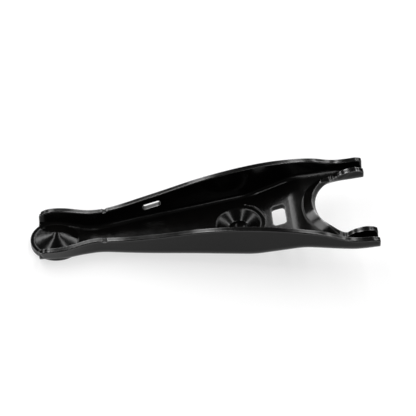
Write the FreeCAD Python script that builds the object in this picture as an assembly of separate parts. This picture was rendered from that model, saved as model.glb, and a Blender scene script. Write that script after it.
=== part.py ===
"""Clutch release fork, pressed from one sheet of steel.  Units: millimetres.

Drawing frame: X runs along the lever from the pushrod end (0) to the finger tips, Y is
across, Z is up on the open side of the channel, and the underside of the web between the
neck and the pivot lies at Z = 0.  The finished fork is then tipped about Y, lever end
down, until it stands on the neck and the pivot bulge, with its ball seat at X = Y = 0.
"""
import FreeCAD, Part
import math
import os

V = FreeCAD.Vector

# ---- sheet -----------------------------------------------------------------------
T = 4.4                  # sheet thickness
R_FLANGE = 3.6           # inside bend radius, web to outer flange
R_THROAT = 2.6           # inside bend radius, web to throat lip and finger inner wall
EDGE = 0.7               # rounding of the sheared rim edges

# ---- side view of the web underside: corner x, z and bend radius --------------------
WEB_LINE = [(-20, 7.1, 0), (38, 0.0, 70), (164, 0.0, 60), (200, 8.2, 40), (238, 5.4, 90),
            (275, 8.4, 0)]

# ---- outer flanges: x, outside half width at the rim, outward lean in degrees --------
FLANGE = [(-12, 21.6, 20), (2, 23.2, 20), (9, 24.0, 20), (16, 24.2, 20), (25, 22.9, 18),
          (36, 19.6, 14), (48, 18.0, 10), (60, 19.5, 8), (80, 23.0, 6), (100, 26.1, 5),
          (120, 29.0, 4), (140, 32.0, 3), (160, 35.2, 3), (180, 38.4, 3), (195, 40.6, 3),
          (208, 42.3, 3), (222, 44.1, 3), (236, 45.5, 3), (252, 46.3, 3), (268, 46.7, 3)]
# top line of the flanges: x, z
RIM = [(-12, 5.0), (-4, 10.4), (1, 13.9), (6, 16.7), (14, 17.4), (26, 17.0), (38, 17.1),
       (48, 17.3), (60, 17.7), (80, 20.2), (100, 23.3), (120, 26.8), (140, 29.1),
       (160, 30.1), (180, 29.7), (195, 28.2), (208, 26.2), (217, 24.0), (224, 21.4),
       (231, 19.3), (238, 18.4), (245, 18.3), (251, 18.1), (256, 15.6), (268, 8.0)]

# ---- throat between the fingers ------------------------------------------------------
THROAT_HALF = 30.6       # half the gap between the fingers
CREASE_X, CREASE_Z = 202.4, 12.0     # web top where it turns up into the lip, at Y = 0
LIP_ANGLE = 34.0         # rise of the lip at Y = 0, degrees
LIP_EDGE_X = 209.8       # upper edge of the lip at Y = 0
LIP_EDGE_R = 33.0        # plan radius of the lip edge
# top line of the lip, the relief beside it and the finger inner walls: x, z
LIP = [(198, 17.2), (210, 17.2), (220, 16.4), (229.5, 12.6), (235, 15.2), (242, 17.4),
       (250, 17.5), (256, 14.0), (268, 6.0)]

# ---- ends ----------------------------------------------------------------------------
END_X, END_RADIUS = 0.4, 85.0       # pushrod end and its plan radius
HOLLOW_X, HOLLOW_Z, HOLLOW_R = -6.4, 9.8, 12.0       # hollow in the flanges' end edges
TIP_X = 253.8                        # finger tips

# ---- pushrod dome, standing up from the web --------------------------------------------
DOME_X, DOME_R, DOME_SLOPE, DOME_NOSE = 14.6, 16.6, 21.0, 9.0

# ---- pivot bowl, pressed down from the web -----------------------------------------------
BOWL_X = 153.4
BOWL_RIM_R, BOWL_RIM_ROUND = 16.8, 3.5
SHOULDER_R, SHOULDER_DEPTH = 8.0, 4.8
SEAT_R = 9.0             # spherical seat for the ball stud

# ---- window for the spring clip -----------------------------------------------------------
WINDOW_X, WINDOW_L, WINDOW_W, WINDOW_ROUND = 184.4, 10.2, 21.0, 2.8

# ---- slot in the left flange and boot notches in both rims ------------------------------
SLOT_X, SLOT_Z, SLOT_L, SLOT_H, SLOT_TILT = 88.8, 14.2, 14.4, 4.8, 7.0
NOTCH_X, NOTCH_Z, NOTCH_R = 52.6, 18.2, 2.0


def corner(a, b, c, radius):
    """Arc end points and middle for a corner at b between a and c."""
    u, w = (b - a).normalize(), (c - b).normalize()
    turn = math.acos(max(-1.0, min(1.0, u.dot(w))))
    back = radius * math.tan(turn / 2)
    middle = b + (w - u).normalize() * (radius / math.cos(turn / 2) - radius)
    return b - u * back, middle, b + w * back


def web_line(offset):
    """The web's side profile, shifted up square to itself, as XZ edges with arcs."""
    pts = [V(x, 0, z) for x, z, _ in WEB_LINE]
    lines = []
    for a, b in zip(pts, pts[1:]):
        shift = V(a.z - b.z, 0, b.x - a.x).normalize() * offset
        lines.append((a + shift, b + shift))
    knots, radii = [lines[0][0]], [0]
    for (a, b), (c, d), (_, _, radius) in zip(lines, lines[1:], WEB_LINE[1:]):
        u, w = (b - a).normalize(), (d - c).normalize()
        cross = u.x * w.z - u.z * w.x
        s = ((c.x - a.x) * w.z - (c.z - a.z) * w.x) / cross
        knots.append(a + u * s)
        radii.append(radius - offset if cross > 0 else radius + offset)
    knots.append(lines[-1][1])
    edges, start = [], knots[0]
    for i in range(1, len(knots) - 1):
        p, middle, q = corner(knots[i - 1], knots[i], knots[i + 1], radii[i])
        edges += [Part.makeLine(start, p), Part.Arc(p, middle, q).toShape()]
        start = q
    return edges + [Part.makeLine(start, knots[-1])]


def smooth(points):
    curve = Part.BSplineCurve()
    curve.interpolate([V(x, 0, z) for x, z in points])
    return curve


def above(edges, top=60.0, half=80.0):
    """Everything above a chain of XZ edges, across the full width."""
    first, last = edges[0].Vertexes[0].Point, edges[-1].Vertexes[-1].Point
    a, b = V(first.x, 0, top), V(last.x, 0, top)
    sides = [Part.makeLine(last, b), Part.makeLine(b, a), Part.makeLine(a, first)]
    face = Part.Face(Part.Wire(edges + sides))
    face.translate(V(0, -half, 0))
    return face.extrude(V(0, 2 * half, 0))


def flange_body(inset, low=-15.0, high=45.0):
    """Solid between the flanges, drawn in by inset measured square to the sheet."""
    rim = smooth(RIM)
    wires = []
    for i, (x, w, lean) in enumerate(FLANGE):
        (xa, wa, _), (xb, wb, _) = FLANGE[max(i - 1, 0)], FLANGE[min(i + 1, len(FLANGE) - 1)]
        lean = math.radians(lean)
        w -= inset / math.cos(lean) / math.cos(math.atan2(wb - wa, xb - xa))
        z = rim.intersectCC(Part.LineSegment(V(x, 0, -50), V(x, 0, 90)))[0].Z
        y0, y1 = w + (low - z) * math.tan(lean), w + (high - z) * math.tan(lean)
        wires.append(Part.makePolygon([V(x, -y0, low), V(x, y0, low), V(x, y1, high),
                                       V(x, -y1, high), V(x, -y0, low)]))
    return Part.makeLoft(wires, True, False)


def throat_prism(half, radius, nose_x, level, run, low, high):
    """U-shaped prism open toward the tips: straight sides half apart from the centre line
    and a round nose, at nose_x at height level, moving run in X per unit of height."""
    x = nose_x + (low - level) * run
    side = x + radius - math.sqrt(radius ** 2 - half ** 2)
    far = 420.0
    nose = Part.Arc(V(side, half, low), V(x, 0, low), V(side, -half, low)).toShape()
    sides = [Part.makeLine(V(side, -half, low), V(far, -half, low)),
             Part.makeLine(V(far, -half, low), V(far, half, low)),
             Part.makeLine(V(far, half, low), V(side, half, low))]
    rise = V((high - low) * run, 0, high - low)
    return Part.Face(Part.Wire([nose] + sides)).extrude(rise)


def bend_edges(shape, test):
    """Edges between a downward face and a side wall, where test(wall, middle) holds."""
    down, walls = [], []
    for f in shape.Faces:
        u0, u1, v0, v1 = f.ParameterRange
        nz = f.normalAt((u0 + u1) / 2, (v0 + v1) / 2).z
        if nz < -0.9:
            down.append(f)
        elif abs(nz) < 0.9 and f.BoundBox.XLength > 0.01:
            walls.append(f)
    found = []
    for wall in walls:
        for e in wall.Edges:
            middle = e.valueAt((e.FirstParameter + e.LastParameter) / 2)
            if test(wall, middle) and any(e.isSame(g) for f in down for g in f.Edges):
                found.append(e)
    return found


def skin(inset, throat, r_flange, r_throat):
    """One side of the sheet as a solid: flange walls, web and throat wall, bends rounded."""
    body = flange_body(inset).common(above(web_line(inset))).cut(throat).Solids[0]
    body = body.makeFillet(r_flange, bend_edges(body, lambda f, m: f.BoundBox.XLength > 200))
    return body.makeFillet(r_throat, bend_edges(
        body, lambda f, m: m.x > 195 and abs(m.y) < THROAT_HALF + T + 1
        and f.BoundBox.XLength > 30))


def rim_edges(pan):
    """The long edges of the flange rims."""
    found = []
    for f in pan.Faces:
        u0, u1, v0, v1 = f.ParameterRange
        if f.normalAt((u0 + u1) / 2, (v0 + v1) / 2).z > 0.9 and f.BoundBox.XLength > 200:
            found += [e for e in f.Edges if e.Length > 20 and abs(e.CenterOfMass.y) > 20]
    return found


def pressing():
    """The pan: web, outer flanges, throat lip and finger channels, trimmed to its rims."""
    lip = math.radians(LIP_ANGLE)
    run = 1 / math.tan(lip)
    under = throat_prism(THROAT_HALF, THROAT_HALF, CREASE_X + T / math.sin(lip), CREASE_Z,
                         run, -20, 60)
    over = throat_prism(THROAT_HALF + T, THROAT_HALF + T, CREASE_X, CREASE_Z, run, -20, 60)
    pan = skin(0, under, R_FLANGE + T, R_THROAT + T).cut(skin(T, over, R_FLANGE, R_THROAT))
    half = THROAT_HALF + T + 1.2
    middle = Part.makeBox(90, 2 * half, 80, V(202, -half, -5))
    pan = pan.cut(above([smooth(RIM).toShape()]).cut(middle))
    pan = pan.common(Part.makeBox(262, 200, 100, V(0, -100, -20))).Solids[0]
    pan = pan.makeFillet(EDGE, rim_edges(pan))
    return pan.cut(above([smooth(LIP).toShape()]).common(middle))


def trim(pan):
    """Lip edge cut square to the sheet, rounded pushrod end, finger tips."""
    lip = math.radians(LIP_ANGLE)
    edge_z = CREASE_Z + (LIP_EDGE_X - CREASE_X) * math.tan(lip)
    pan = pan.cut(throat_prism(THROAT_HALF - 0.3, LIP_EDGE_R, LIP_EDGE_X, edge_z,
                               -math.tan(lip), edge_z - 12, edge_z + 12))
    end = Part.makeBox(60, 120, 90, V(-40, -60, -20))
    pan = pan.cut(end.cut(Part.makeCylinder(END_RADIUS, 90, V(END_X + END_RADIUS, 0, -20))))
    hollow = Part.makeCylinder(HOLLOW_R, 80, V(HOLLOW_X, -40, HOLLOW_Z), V(0, 1, 0))
    clear = DOME_R + T
    pan = pan.cut(hollow.cut(Part.makeBox(60, 2 * clear, 80, V(-40, -clear, -20))))
    return pan.cut(Part.makeBox(60, 140, 100, V(TIP_X, -70, -20)))


def lathe(points, x, z=0.0):
    """Solid of revolution about a vertical axis at x, from a closed section of (r, z)
    points.  A third value on a point is the radius of the corner there."""
    n = len(points)
    pts = [V(p[0], 0, p[1]) for p in points]
    edges, start, first = [], None, None
    for i, p in enumerate(points):
        if len(p) == 3:
            a, middle, b = corner(pts[i - 1], pts[i], pts[(i + 1) % n], p[2])
            arc = [Part.Arc(a, middle, b).toShape()]
        else:
            a = b = pts[i]
            arc = []
        if start is not None and (a - start).Length > 1e-6:
            edges.append(Part.makeLine(start, a))
        edges += arc
        first = a if first is None else first
        start = b
    edges.append(Part.makeLine(start, first))
    solid = Part.Face(Part.Wire(edges)).revolve(V(0, 0, 0), V(0, 0, 1), 360)
    solid.translate(V(x, 0, z))
    return solid


def nosed_cone(base_r, slope, nose, sheet, root_r, root, depth):
    """Cone with a spherical nose on a flat skirt at height sheet, filled down to depth."""
    tip = sheet + base_r * math.tan(slope)
    centre = tip - nose / math.cos(slope)
    cone = lathe([(0, depth), (root_r, depth), (root_r, sheet), (base_r, sheet, root),
                  (0, tip)], 0)
    cap = Part.makeCylinder(nose * math.sin(slope), 20, V(0, 0, centre + nose * math.cos(slope)))
    return cone.cut(cap.cut(Part.makeSphere(nose, V(0, 0, centre))))


def dome(pan):
    """Pushrod dome: a cone standing on the web, hollow underneath."""
    slope = math.radians(DOME_SLOPE)
    boss = nosed_cone(DOME_R, slope, DOME_NOSE, T, DOME_R + 3, 4.0, 1.0)
    inner_r = DOME_R - (T / math.cos(slope) - T) / math.tan(slope)
    hollow = nosed_cone(inner_r, slope, DOME_NOSE - T, 0, inner_r + 2, 1.5, -6.0)
    (x0, z0, _), (x1, z1, _) = WEB_LINE[:2]
    tilt = math.atan2(z0 - z1, x1 - x0)
    z = z1 + (x1 - DOME_X) * math.tan(tilt)
    for tool in (boss, hollow):
        tool.rotate(V(0, 0, 0), V(0, 1, 0), math.degrees(tilt))
        tool.translate(V(DOME_X, 0, z))
    return pan.fuse(boss).cut(hollow)


def bowl(pan):
    """Pivot bowl: a cone pressed down from the web, ending in a spherical ball seat.
    Returns the pan and the height of the seat's centre."""
    shoulder = T - SHOULDER_DEPTH
    seat = shoulder + math.sqrt(SEAT_R ** 2 - SHOULDER_R ** 2)
    slope = math.atan2(SHOULDER_DEPTH, BOWL_RIM_R - SHOULDER_R)
    dr, dz = T * math.sin(slope), T * math.cos(slope)
    low_r, low_z = SHOULDER_R + dr, shoulder - dz
    foot_r = BOWL_RIM_R + dr - (T - dz) / math.tan(slope)
    skirt = lathe([(0, T - 0.5), (foot_r + 4, T - 0.5), (foot_r + 4, 0), (foot_r, 0, 1.5),
                   (low_r, low_z), (0, low_z)], BOWL_X)
    knob = Part.makeSphere(SEAT_R + T, V(BOWL_X, 0, seat)).common(
        Part.makeCylinder(low_r, 40, V(BOWL_X, 0, low_z - 40)))
    hollow = lathe([(0, T + 12), (BOWL_RIM_R + 4, T + 12), (BOWL_RIM_R + 4, T),
                    (BOWL_RIM_R, T, BOWL_RIM_ROUND), (SHOULDER_R, shoulder), (0, shoulder)],
                   BOWL_X)
    socket = Part.makeSphere(SEAT_R, V(BOWL_X, 0, seat)).common(
        Part.makeCylinder(SHOULDER_R, 40, V(BOWL_X, 0, shoulder - 40)))
    return pan.fuse(skirt).fuse(knob).cut(hollow.fuse(socket)), seat


def rounded_bar(length, width, radius, depth):
    """Rounded rectangle, length along X and width along Y, centred, depth along Z."""
    block = Part.makeBox(length, width, depth, V(-length / 2, -width / 2, -depth / 2))
    return block.makeFillet(radius, [e for e in block.Edges if abs(e.tangentAt(0).z) > 0.9])


def openings(pan):
    window = rounded_bar(WINDOW_L, WINDOW_W, WINDOW_ROUND, 30)
    window.translate(V(WINDOW_X, 0, 8))
    slot = rounded_bar(SLOT_L, SLOT_H, SLOT_H / 2 - 0.1, 30)
    slot.rotate(V(0, 0, 0), V(1, 0, 0), 90)
    slot.rotate(V(0, 0, 0), V(0, 1, 0), -SLOT_TILT)
    slot.translate(V(SLOT_X, 26, SLOT_Z))
    notch = Part.makeCylinder(NOTCH_R, 120, V(NOTCH_X, -60, NOTCH_Z), V(0, 1, 0))
    return pan.cut(window).cut(slot).cut(notch)


def rest_tilt(seat):
    """Slope of the plane that touches the neck bend and the pivot bulge from below."""
    (x0, z0, _), (x1, _, bend) = WEB_LINE[:2]
    neck_x = x1 + bend * math.tan(math.atan2(z0, x1 - x0) / 2)
    dx, dz = BOWL_X - neck_x, bend - seat
    return math.acos((bend - SEAT_R - T) / math.hypot(dx, dz)) - math.atan2(dx, dz)


pan, seat = bowl(dome(trim(pressing())))
fork = openings(pan).Solids[0]
fork.translate(V(-BOWL_X, 0, -seat))
fork.rotate(V(0, 0, 0), V(0, 1, 0), -math.degrees(rest_tilt(seat)))

os.makedirs("parts", exist_ok=True)
fork.exportStep("parts/clutch_fork.step")
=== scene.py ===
import math

import bpy
from mathutils import Matrix, Vector


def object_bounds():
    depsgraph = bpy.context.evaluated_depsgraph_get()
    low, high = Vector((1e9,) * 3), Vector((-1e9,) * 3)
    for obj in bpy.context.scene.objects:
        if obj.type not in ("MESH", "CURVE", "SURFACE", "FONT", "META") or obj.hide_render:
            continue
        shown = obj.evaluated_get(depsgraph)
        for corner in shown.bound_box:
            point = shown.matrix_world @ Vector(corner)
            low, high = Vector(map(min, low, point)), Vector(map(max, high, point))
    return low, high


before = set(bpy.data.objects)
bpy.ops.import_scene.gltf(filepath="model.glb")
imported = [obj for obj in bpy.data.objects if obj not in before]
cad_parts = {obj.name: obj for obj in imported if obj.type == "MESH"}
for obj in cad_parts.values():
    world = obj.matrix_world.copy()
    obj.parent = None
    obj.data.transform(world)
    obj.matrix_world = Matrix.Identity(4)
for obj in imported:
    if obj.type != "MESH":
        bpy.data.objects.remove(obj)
cad_box = [list(map(float, corner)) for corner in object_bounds()]
scene = bpy.context.scene
ground = cad_box[0][2]

# ---- paint: lengths in metres, noise scales per metre ----------------------------
INDEX = 1.5
TONE_SCALE, TONE_LOW, TONE_HIGH = 45, (0.0010, 0.0010, 0.0011), (0.0024, 0.0022, 0.0020)
SHEEN_SCALE, SHEEN_LOW, SHEEN_HIGH = 70, 0.12, 0.20
WAVE_SCALE, WAVE_STRENGTH, WAVE_HEIGHT = 260, 0.10, 0.0004
FACE_SPECULAR, EDGE_SPECULAR = 0.20, 1.0
EDGE_REACH = 0.0018          # how far from a cut edge the paint is thinner
EDGE_TURN = (0.95, 0.998)    # agreement of true and averaged normal: full shine, none
EDGE_ROUND = 0.0005          # softness of the shear edges

# ---- floor: lengths in metres ------------------------------------------------------
FLOOR_RADIUS, COVE, WALL_TOP = 4.0, 0.4, 0.9
COVE_STEPS, TURNS = 12, 96
BOARD_OWN, BOARD_GLOW = 0.34, 0.68

# ---- lamps: name, lean, spread, start, end, radiance (see strip_light) ---------------
LAMP_REACH = 5.0
LAMPS = [("strip_left_low", -0.95, 0.19, -0.2, 3.0, 9.5),
         ("strip_left_high", -0.35, 0.15, -0.2, 1.9, 11.0),
         ("strip_right_high", 0.37, 0.14, -0.5, 1.9, 10.5),
         ("strip_right_low", 0.80, 0.17, -0.2, 3.0, 9.5),
         ("side_left_near", -1.5, 0.4, -0.3, 0.4, 14.0),
         ("side_left_far", -1.75, 0.5, 0.7, 1.4, 11.0),
         ("front_right", 0.45, 0.3, -1.5, -0.5, 5.0)]
ROOM_LEVEL = 0.08

# ---- camera: metres, millimetres of lens and degrees ---------------------------------
CAMERA_AT = (-0.08792, -0.70563, 0.68373)
CAMERA_TURN = (46.7744, -0.9508, -4.3132)
SENSOR, LENS = 36, 112.37
CLIP_NEAR, CLIP_FAR = 0.05, 20


# ---- black electrocoat ---------------------------------------------------------------

def electrocoat(name):
    """Gloss-black dipped paint over pressed steel: deep black, slightly wavy, with soft
    shear edges that shine harder."""
    mat = bpy.data.materials.new(name)
    mat.use_nodes = True
    nodes, links = mat.node_tree.nodes, mat.node_tree.links
    shader = nodes["Principled BSDF"]
    shader.inputs["IOR"].default_value = INDEX
    space = nodes.new("ShaderNodeTexCoord")

    def noise(scale, detail, rough=0.5):
        node = nodes.new("ShaderNodeTexNoise")
        node.inputs["Scale"].default_value = scale
        node.inputs["Detail"].default_value = detail
        node.inputs["Roughness"].default_value = rough
        links.new(space.outputs["Object"], node.inputs["Vector"])
        return node.outputs["Fac"]

    def ramp(source, low, high, at=(0.3, 0.7)):
        node = nodes.new("ShaderNodeValToRGB")
        for stop, place, colour in zip(node.color_ramp.elements, at, (low, high)):
            stop.position = place
            stop.color = (*colour, 1)
        links.new(source, node.inputs["Fac"])
        return node.outputs["Color"]

    def bevel(radius, samples):
        node = nodes.new("ShaderNodeBevel")
        node.inputs["Radius"].default_value = radius
        node.samples = samples
        return node.outputs["Normal"]

    # patches of slightly different black and gloss
    links.new(ramp(noise(TONE_SCALE, 4), TONE_LOW, TONE_HIGH), shader.inputs["Base Color"])
    links.new(ramp(noise(SHEEN_SCALE, 5, 0.6), (SHEEN_LOW,) * 3, (SHEEN_HIGH,) * 3),
              shader.inputs["Roughness"])

    # thinner paint along the cut edges shines harder
    face = nodes.new("ShaderNodeNewGeometry")
    match = nodes.new("ShaderNodeVectorMath")
    match.operation = "DOT_PRODUCT"
    links.new(bevel(EDGE_REACH, 8), match.inputs[0])
    links.new(face.outputs["Normal"], match.inputs[1])
    links.new(ramp(match.outputs["Value"], (EDGE_SPECULAR,) * 3, (FACE_SPECULAR,) * 3, EDGE_TURN),
              shader.inputs["Specular IOR Level"])

    # orange peel over rounded edges
    waves = nodes.new("ShaderNodeBump")
    waves.inputs["Strength"].default_value = WAVE_STRENGTH
    waves.inputs["Distance"].default_value = WAVE_HEIGHT
    links.new(noise(WAVE_SCALE, 2), waves.inputs["Height"])
    links.new(bevel(EDGE_ROUND, 6), waves.inputs["Normal"])
    links.new(waves.outputs["Normal"], shader.inputs["Normal"])
    return mat


paint = electrocoat("black_electrocoat")
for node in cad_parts.values():
    for slot in node.material_slots:
        slot.material = paint


# ---- white sweep ---------------------------------------------------------------------

def sweep(name):
    """Round floor whose rim curves up into a low wall, white from every side."""
    profile = [(FLOOR_RADIUS * 0.3, 0.0), (FLOOR_RADIUS, 0.0)]
    for k in range(1, COVE_STEPS + 1):
        t = math.radians(90 * k / COVE_STEPS)
        profile.append((FLOOR_RADIUS + COVE * math.sin(t), COVE * (1 - math.cos(t))))
    profile.append((FLOOR_RADIUS + COVE, WALL_TOP))
    points = [(0, 0, ground)]
    for radius, height in profile:
        for k in range(TURNS):
            t = math.tau * k / TURNS
            points.append((radius * math.cos(t), radius * math.sin(t), ground + height))
    following = [(k + 1) % TURNS for k in range(TURNS)]
    faces = [(0, 1 + k, 1 + n) for k, n in enumerate(following)]
    for ring in range(len(profile) - 1):
        a, b = 1 + ring * TURNS, 1 + (ring + 1) * TURNS
        faces += [(a + k, b + k, b + n, a + n) for k, n in enumerate(following)]
    mesh = bpy.data.meshes.new(name)
    mesh.from_pydata(points, [], faces)
    for face in mesh.polygons:
        face.use_smooth = True
    obj = bpy.data.objects.new(name, mesh)
    scene.collection.objects.link(obj)
    return obj


def white_board(name):
    """Matt white that keeps a soft shadow and shows as clean white to the camera and in
    gloss."""
    mat = bpy.data.materials.new(name)
    mat.use_nodes = True
    nodes, links = mat.node_tree.nodes, mat.node_tree.links
    nodes.clear()
    path = nodes.new("ShaderNodeLightPath")

    def combine(operation, first, second):
        node = nodes.new("ShaderNodeMath")
        node.operation = operation
        links.new(first, node.inputs[0])
        if isinstance(second, float):
            node.inputs[1].default_value = second
        else:
            links.new(second, node.inputs[1])
        return node.outputs[0]

    seen = combine("MAXIMUM", path.outputs["Is Camera Ray"], path.outputs["Is Glossy Ray"])
    seen = combine("MAXIMUM", seen, path.outputs["Is Transmission Ray"])
    glow = nodes.new("ShaderNodeEmission")
    links.new(combine("MULTIPLY", seen, BOARD_GLOW), glow.inputs["Strength"])
    matt = nodes.new("ShaderNodeBsdfDiffuse")
    matt.inputs["Color"].default_value = (BOARD_OWN, BOARD_OWN, BOARD_OWN, 1)
    both = nodes.new("ShaderNodeAddShader")
    links.new(matt.outputs[0], both.inputs[0])
    links.new(glow.outputs[0], both.inputs[1])
    out = nodes.new("ShaderNodeOutputMaterial")
    links.new(both.outputs[0], out.inputs["Surface"])
    return mat


board = sweep("sweep")
board.data.materials.append(white_board("white_board"))


# ---- light ---------------------------------------------------------------------------

def fade_sideways(lamp):
    """Brightest along the lamp's middle line, fading to nothing at its two long sides."""
    lamp.use_nodes = True
    nodes, links = lamp.node_tree.nodes, lamp.node_tree.links
    place = nodes.new("ShaderNodeNewGeometry")
    split = nodes.new("ShaderNodeSeparateXYZ")
    turn = nodes.new("ShaderNodeMath")
    turn.operation = "MULTIPLY"
    turn.inputs[1].default_value = math.pi
    wave = nodes.new("ShaderNodeMath")
    wave.operation = "SINE"
    links.new(place.outputs["Parametric"], split.inputs[0])
    links.new(split.outputs["X"], turn.inputs[0])
    links.new(turn.outputs[0], wave.inputs[0])
    links.new(wave.outputs[0], nodes["Emission"].inputs["Strength"])


def strip_light(name, lean, spread, start, end, radiance):
    """Long softbox that runs from front to back beside the object's top side.
    lean is its sideways run per unit of height, spread its width in the same measure,
    start and end its forward run per unit of height, all seen from the pivot."""
    head, tail = (Vector((lean, run, 1)).normalized() * LAMP_REACH for run in (start, end))
    middle = (head + tail) / 2
    along = (tail - head).normalized()
    out = (middle - along * middle.dot(along)).normalized()
    across = along.cross(out)
    angle = math.atan(lean + spread / 2) - math.atan(lean - spread / 2)
    lamp = bpy.data.lights.new(name, "AREA")
    lamp.shape = "RECTANGLE"
    lamp.size = 2 * middle.length * math.tan(angle / 2)
    lamp.size_y = (tail - head).length
    lamp.energy = radiance * math.pi * lamp.size * lamp.size_y
    fade_sideways(lamp)
    obj = bpy.data.objects.new(name, lamp)
    obj.matrix_world = Matrix((across, along, out)).transposed().to_4x4()
    obj.location = middle
    obj.visible_camera = False
    scene.collection.objects.link(obj)


for lamp_row in LAMPS:
    strip_light(*lamp_row)

world = bpy.data.worlds.new("studio")
scene.world = world
world.use_nodes = True
room = world.node_tree.nodes["Background"]
room.inputs["Color"].default_value = (ROOM_LEVEL, ROOM_LEVEL, ROOM_LEVEL, 1)
room.inputs["Strength"].default_value = 1.0


# ---- camera --------------------------------------------------------------------------

lens = bpy.data.cameras.new("camera")
lens.sensor_width = SENSOR
lens.lens = LENS
lens.clip_start, lens.clip_end = CLIP_NEAR, CLIP_FAR
camera = bpy.data.objects.new("camera", lens)
camera.location = CAMERA_AT
camera.rotation_euler = [math.radians(v) for v in CAMERA_TURN]
scene.collection.objects.link(camera)
scene.camera = camera

scene.view_settings.view_transform = "Standard"
